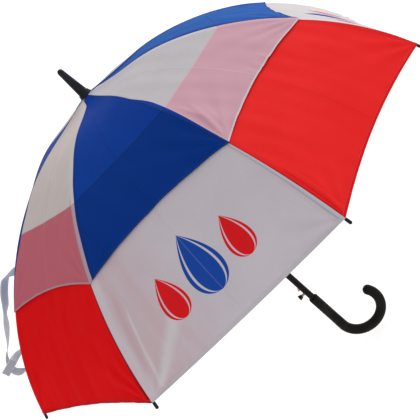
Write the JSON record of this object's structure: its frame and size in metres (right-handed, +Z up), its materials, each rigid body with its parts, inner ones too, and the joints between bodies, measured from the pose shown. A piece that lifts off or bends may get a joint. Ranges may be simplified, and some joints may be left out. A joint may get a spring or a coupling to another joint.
{
  "type": "golf umbrella",
  "caption": "Open vented golf umbrella: two layered panelled canopies on folding ribs and stretchers, sliding runner, push-button release, tube shaft and crook handle.",
  "frame": {"origin": "middle of the straight grip, on the shaft's axis", "axes": "+Z up the shaft to the ferrule, +X the way the crook bends, the release button on -X"},
  "size_m": [1.1124, 1.0798, 0.9846],
  "materials": {
    "gloss_black": "gloss black paint on steel tube",
    "grip_black": "matt black rubber-like coating",
    "plastic_black": "black moulded plastic",
    "rib_black": "black glass-fibre rod and channel",
    "steel": "bright nickel-plated steel",
    "cloth_white": "white woven pongee",
    "cloth_blue": "blue woven pongee",
    "cloth_red": "red woven pongee"
  },
  "bodies": {
    "shaft": {"shaft": "gloss_black", "handle": "grip_black", "ferrule": "plastic_black", "crown_cap": "plastic_black", "top_notch": "plastic_black", "notch_wire": "steel", "stop_pin": "steel"},
    "runner": {"runner": "plastic_black", "opening_spring": "steel"},
    "release": {"release_latch": "steel", "release_button": "plastic_black"},
    "rib_1": {"rib_1": "rib_black", "tip_cap_1": "plastic_black"},
    "rib_2": {"rib_2": "rib_black", "tip_cap_2": "plastic_black"},
    "rib_3": {"rib_3": "rib_black", "tip_cap_3": "plastic_black"},
    "rib_4": {"rib_4": "rib_black", "tip_cap_4": "plastic_black"},
    "rib_5": {"rib_5": "rib_black", "tip_cap_5": "plastic_black"},
    "rib_6": {"rib_6": "rib_black", "tip_cap_6": "plastic_black"},
    "rib_7": {"rib_7": "rib_black", "tip_cap_7": "plastic_black"},
    "rib_8": {"rib_8": "rib_black", "tip_cap_8": "plastic_black"},
    "stretcher_1": {"stretcher_1": "rib_black"},
    "stretcher_2": {"stretcher_2": "rib_black"},
    "stretcher_3": {"stretcher_3": "rib_black"},
    "stretcher_4": {"stretcher_4": "rib_black"},
    "stretcher_5": {"stretcher_5": "rib_black"},
    "stretcher_6": {"stretcher_6": "rib_black"},
    "stretcher_7": {"stretcher_7": "rib_black"},
    "stretcher_8": {"stretcher_8": "rib_black"},
    "lower_cloth_1": {"lower_panel_1": "cloth_white"},
    "upper_cloth_1": {"upper_panel_1": "cloth_blue"},
    "lower_cloth_2": {"lower_panel_2": "cloth_red"},
    "upper_cloth_2": {"upper_panel_2": "cloth_white"},
    "lower_cloth_3": {"lower_panel_3": "cloth_white"},
    "upper_cloth_3": {"upper_panel_3": "cloth_blue"},
    "lower_cloth_4": {"lower_panel_4": "cloth_red"},
    "upper_cloth_4": {"upper_panel_4": "cloth_white"},
    "lower_cloth_5": {"lower_panel_5": "cloth_white", "tie_strap": "cloth_white"},
    "upper_cloth_5": {"upper_panel_5": "cloth_blue"},
    "lower_cloth_6": {"lower_panel_6": "cloth_red"},
    "upper_cloth_6": {"upper_panel_6": "cloth_white"},
    "lower_cloth_7": {"lower_panel_7": "cloth_white"},
    "upper_cloth_7": {"upper_panel_7": "cloth_blue"},
    "lower_cloth_8": {"lower_panel_8": "cloth_red"},
    "upper_cloth_8": {"upper_panel_8": "cloth_white"}
  },
  "joints": [
    {"name": "runner_slide", "type": "slide", "parent": "shaft", "child": "runner", "axis": [0, 0, 1], "range_m": [-0.33664, 0], "stiffness_N_per_m": 60, "springref_m": 0.25, "deforming": ["opening_spring", "lower_panel_1", "lower_panel_2", "lower_panel_3", "lower_panel_4", "lower_panel_5", "lower_panel_6", "lower_panel_7", "lower_panel_8", "upper_panel_1", "upper_panel_2", "upper_panel_3", "upper_panel_4", "upper_panel_5", "upper_panel_6", "upper_panel_7", "upper_panel_8", "tie_strap"]},
    {"name": "release_press", "type": "slide", "parent": "shaft", "child": "release", "axis": [1, 0, 0], "range_m": [0, 0.0053], "stiffness_N_per_m": 600, "springref_m": -0.004},
    {"name": "rib_1_hinge", "type": "hinge", "parent": "shaft", "child": "rib_1", "pos_m": [0.01109, -0.00459, 0.75605], "axis": [0.3827, 0.9239, 0], "range_deg": [0, 56.53]},
    {"name": "rib_2_hinge", "type": "hinge", "parent": "shaft", "child": "rib_2", "pos_m": [0.01109, 0.00459, 0.75605], "axis": [-0.3827, 0.9239, 0], "range_deg": [0, 56.53]},
    {"name": "rib_3_hinge", "type": "hinge", "parent": "shaft", "child": "rib_3", "pos_m": [0.00459, 0.01109, 0.75605], "axis": [-0.9239, 0.3827, 0], "range_deg": [0, 56.53]},
    {"name": "rib_4_hinge", "type": "hinge", "parent": "shaft", "child": "rib_4", "pos_m": [-0.00459, 0.01109, 0.75605], "axis": [-0.9239, -0.3827, 0], "range_deg": [0, 56.53]},
    {"name": "rib_5_hinge", "type": "hinge", "parent": "shaft", "child": "rib_5", "pos_m": [-0.01109, 0.00459, 0.75605], "axis": [-0.3827, -0.9239, 0], "range_deg": [0, 56.53]},
    {"name": "rib_6_hinge", "type": "hinge", "parent": "shaft", "child": "rib_6", "pos_m": [-0.01109, -0.00459, 0.75605], "axis": [0.3827, -0.9239, 0], "range_deg": [0, 56.53]},
    {"name": "rib_7_hinge", "type": "hinge", "parent": "shaft", "child": "rib_7", "pos_m": [-0.00459, -0.01109, 0.75605], "axis": [0.9239, -0.3827, 0], "range_deg": [0, 56.53]},
    {"name": "rib_8_hinge", "type": "hinge", "parent": "shaft", "child": "rib_8", "pos_m": [0.00459, -0.01109, 0.75605], "axis": [0.9239, 0.3827, 0], "range_deg": [0, 56.53]},
    {"name": "stretcher_1_pivot", "type": "hinge", "parent": "rib_1", "child": "stretcher_1", "pos_m": [0.2734, -0.11325, 0.68177], "axis": [0.3827, 0.9239, 0], "range_deg": [-95.47, 0]},
    {"name": "stretcher_2_pivot", "type": "hinge", "parent": "rib_2", "child": "stretcher_2", "pos_m": [0.2734, 0.11325, 0.68177], "axis": [-0.3827, 0.9239, 0], "range_deg": [-95.47, 0]},
    {"name": "stretcher_3_pivot", "type": "hinge", "parent": "rib_3", "child": "stretcher_3", "pos_m": [0.11325, 0.2734, 0.68177], "axis": [-0.9239, 0.3827, 0], "range_deg": [-95.47, 0]},
    {"name": "stretcher_4_pivot", "type": "hinge", "parent": "rib_4", "child": "stretcher_4", "pos_m": [-0.11325, 0.2734, 0.68177], "axis": [-0.9239, -0.3827, 0], "range_deg": [-95.47, 0]},
    {"name": "stretcher_5_pivot", "type": "hinge", "parent": "rib_5", "child": "stretcher_5", "pos_m": [-0.2734, 0.11325, 0.68177], "axis": [-0.3827, -0.9239, 0], "range_deg": [-95.47, 0]},
    {"name": "stretcher_6_pivot", "type": "hinge", "parent": "rib_6", "child": "stretcher_6", "pos_m": [-0.2734, -0.11325, 0.68177], "axis": [0.3827, -0.9239, 0], "range_deg": [-95.47, 0]},
    {"name": "stretcher_7_pivot", "type": "hinge", "parent": "rib_7", "child": "stretcher_7", "pos_m": [-0.11325, -0.2734, 0.68177], "axis": [0.9239, -0.3827, 0], "range_deg": [-95.47, 0]},
    {"name": "stretcher_8_pivot", "type": "hinge", "parent": "rib_8", "child": "stretcher_8", "pos_m": [0.11325, -0.2734, 0.68177], "axis": [0.9239, 0.3827, 0], "range_deg": [-95.47, 0]},
    {"name": "lower_cloth_1_fold", "type": "hinge", "parent": "rib_1", "child": "lower_cloth_1", "pos_m": [0.00702, -0.00551, 0.75424], "axis": [-0.8097, -0.5075, -0.2947], "range_deg": [0, 24.58]},
    {"name": "upper_cloth_1_fold", "type": "hinge", "parent": "rib_2", "child": "upper_cloth_1", "pos_m": [0.00702, 0.00551, 0.75424], "axis": [0.8097, -0.5075, 0.2947], "range_deg": [0, 24.58]},
    {"name": "lower_cloth_2_fold", "type": "hinge", "parent": "rib_2", "child": "lower_cloth_2", "pos_m": [0.00886, 0.00107, 0.75424], "axis": [-0.2137, -0.9314, -0.2947], "range_deg": [0, 24.58]},
    {"name": "upper_cloth_2_fold", "type": "hinge", "parent": "rib_3", "child": "upper_cloth_2", "pos_m": [0.00107, 0.00886, 0.75424], "axis": [0.9314, 0.2137, 0.2947], "range_deg": [0, 24.58]},
    {"name": "lower_cloth_3_fold", "type": "hinge", "parent": "rib_3", "child": "lower_cloth_3", "pos_m": [0.00551, 0.00702, 0.75424], "axis": [0.5075, -0.8097, -0.2947], "range_deg": [0, 24.58]},
    {"name": "upper_cloth_3_fold", "type": "hinge", "parent": "rib_4", "child": "upper_cloth_3", "pos_m": [-0.00551, 0.00702, 0.75424], "axis": [0.5075, 0.8097, 0.2947], "range_deg": [0, 24.58]},
    {"name": "lower_cloth_4_fold", "type": "hinge", "parent": "rib_4", "child": "lower_cloth_4", "pos_m": [-0.00107, 0.00886, 0.75424], "axis": [0.9314, -0.2137, -0.2947], "range_deg": [0, 24.58]},
    {"name": "upper_cloth_4_fold", "type": "hinge", "parent": "rib_5", "child": "upper_cloth_4", "pos_m": [-0.00886, 0.00107, 0.75424], "axis": [-0.2137, 0.9314, 0.2947], "range_deg": [0, 24.58]},
    {"name": "lower_cloth_5_fold", "type": "hinge", "parent": "rib_5", "child": "lower_cloth_5", "pos_m": [-0.00702, 0.00551, 0.75424], "axis": [0.8097, 0.5075, -0.2947], "range_deg": [0, 24.58]},
    {"name": "upper_cloth_5_fold", "type": "hinge", "parent": "rib_6", "child": "upper_cloth_5", "pos_m": [-0.00702, -0.00551, 0.75424], "axis": [-0.8097, 0.5075, 0.2947], "range_deg": [0, 24.58]},
    {"name": "lower_cloth_6_fold", "type": "hinge", "parent": "rib_6", "child": "lower_cloth_6", "pos_m": [-0.00886, -0.00107, 0.75424], "axis": [0.2137, 0.9314, -0.2947], "range_deg": [0, 24.58]},
    {"name": "upper_cloth_6_fold", "type": "hinge", "parent": "rib_7", "child": "upper_cloth_6", "pos_m": [-0.00107, -0.00886, 0.75424], "axis": [-0.9314, -0.2137, 0.2947], "range_deg": [0, 24.58]},
    {"name": "lower_cloth_7_fold", "type": "hinge", "parent": "rib_7", "child": "lower_cloth_7", "pos_m": [-0.00551, -0.00702, 0.75424], "axis": [-0.5075, 0.8097, -0.2947], "range_deg": [0, 24.58]},
    {"name": "upper_cloth_7_fold", "type": "hinge", "parent": "rib_8", "child": "upper_cloth_7", "pos_m": [0.00551, -0.00702, 0.75424], "axis": [-0.5075, -0.8097, 0.2947], "range_deg": [0, 24.58]},
    {"name": "lower_cloth_8_fold", "type": "hinge", "parent": "rib_8", "child": "lower_cloth_8", "pos_m": [0.00107, -0.00886, 0.75424], "axis": [-0.9314, 0.2137, -0.2947], "range_deg": [0, 24.58]},
    {"name": "upper_cloth_8_fold", "type": "hinge", "parent": "rib_1", "child": "upper_cloth_8", "pos_m": [0.00886, -0.00107, 0.75424], "axis": [0.2137, -0.9314, 0.2947], "range_deg": [0, 24.58]}
  ],
  "couplings": [
    {"joint": "rib_1_hinge", "follows": "runner_slide", "rad_per_m": -2.9052},
    {"joint": "rib_2_hinge", "follows": "runner_slide", "rad_per_m": -2.9052},
    {"joint": "rib_3_hinge", "follows": "runner_slide", "rad_per_m": -2.9052},
    {"joint": "rib_4_hinge", "follows": "runner_slide", "rad_per_m": -2.9052},
    {"joint": "rib_5_hinge", "follows": "runner_slide", "rad_per_m": -2.9052},
    {"joint": "rib_6_hinge", "follows": "runner_slide", "rad_per_m": -2.9052},
    {"joint": "rib_7_hinge", "follows": "runner_slide", "rad_per_m": -2.9052},
    {"joint": "rib_8_hinge", "follows": "runner_slide", "rad_per_m": -2.9052},
    {"joint": "stretcher_1_pivot", "follows": "runner_slide", "rad_per_m": 4.9236},
    {"joint": "stretcher_2_pivot", "follows": "runner_slide", "rad_per_m": 4.9236},
    {"joint": "stretcher_3_pivot", "follows": "runner_slide", "rad_per_m": 4.9236},
    {"joint": "stretcher_4_pivot", "follows": "runner_slide", "rad_per_m": 4.9236},
    {"joint": "stretcher_5_pivot", "follows": "runner_slide", "rad_per_m": 4.9236},
    {"joint": "stretcher_6_pivot", "follows": "runner_slide", "rad_per_m": 4.9236},
    {"joint": "stretcher_7_pivot", "follows": "runner_slide", "rad_per_m": 4.9236},
    {"joint": "stretcher_8_pivot", "follows": "runner_slide", "rad_per_m": 4.9236},
    {"joint": "lower_cloth_1_fold", "follows": "runner_slide", "rad_per_m": -1.2486},
    {"joint": "upper_cloth_1_fold", "follows": "runner_slide", "rad_per_m": -1.2486},
    {"joint": "lower_cloth_2_fold", "follows": "runner_slide", "rad_per_m": -1.2486},
    {"joint": "upper_cloth_2_fold", "follows": "runner_slide", "rad_per_m": -1.2486},
    {"joint": "lower_cloth_3_fold", "follows": "runner_slide", "rad_per_m": -1.2486},
    {"joint": "upper_cloth_3_fold", "follows": "runner_slide", "rad_per_m": -1.2486},
    {"joint": "lower_cloth_4_fold", "follows": "runner_slide", "rad_per_m": -1.2486},
    {"joint": "upper_cloth_4_fold", "follows": "runner_slide", "rad_per_m": -1.2486},
    {"joint": "lower_cloth_5_fold", "follows": "runner_slide", "rad_per_m": -1.2486},
    {"joint": "upper_cloth_5_fold", "follows": "runner_slide", "rad_per_m": -1.2486},
    {"joint": "lower_cloth_6_fold", "follows": "runner_slide", "rad_per_m": -1.2486},
    {"joint": "upper_cloth_6_fold", "follows": "runner_slide", "rad_per_m": -1.2486},
    {"joint": "lower_cloth_7_fold", "follows": "runner_slide", "rad_per_m": -1.2486},
    {"joint": "upper_cloth_7_fold", "follows": "runner_slide", "rad_per_m": -1.2486},
    {"joint": "lower_cloth_8_fold", "follows": "runner_slide", "rad_per_m": -1.2486},
    {"joint": "upper_cloth_8_fold", "follows": "runner_slide", "rad_per_m": -1.2486}
  ]
}
